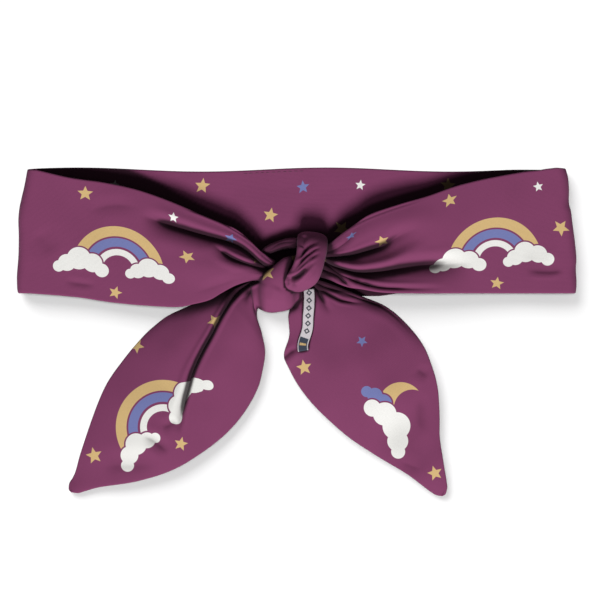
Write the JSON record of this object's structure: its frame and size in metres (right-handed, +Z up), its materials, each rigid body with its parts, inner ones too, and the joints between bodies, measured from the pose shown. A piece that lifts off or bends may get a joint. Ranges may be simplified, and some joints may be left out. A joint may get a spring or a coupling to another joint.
{
  "type": "knotted tie headband",
  "caption": "Soft headband: a loop of doubled jersey, gathered at the front into a knot with pointed leaf-shaped tails, lying flat.",
  "frame": {"origin": "on the underside of the back band, where it rests, below the middle of the band", "axes": "+X along the band to the right, +Y across the band towards its upper edge, +Z up from the surface that it lies on"},
  "size_m": [0.2496, 0.1467, 0.0201],
  "materials": {
    "plum_jersey": null,
    "label_ribbon": "flat woven ribbon in off-white, with a plain woven motif and no words"
  },
  "bodies": {
    "root": {"band": "plum_jersey", "knot_wrap": "plum_jersey", "knot_cross": "plum_jersey", "knot_back": "plum_jersey", "tail_left": "plum_jersey", "tail_right": "plum_jersey", "label": "label_ribbon"}
  },
  "joints": []
}
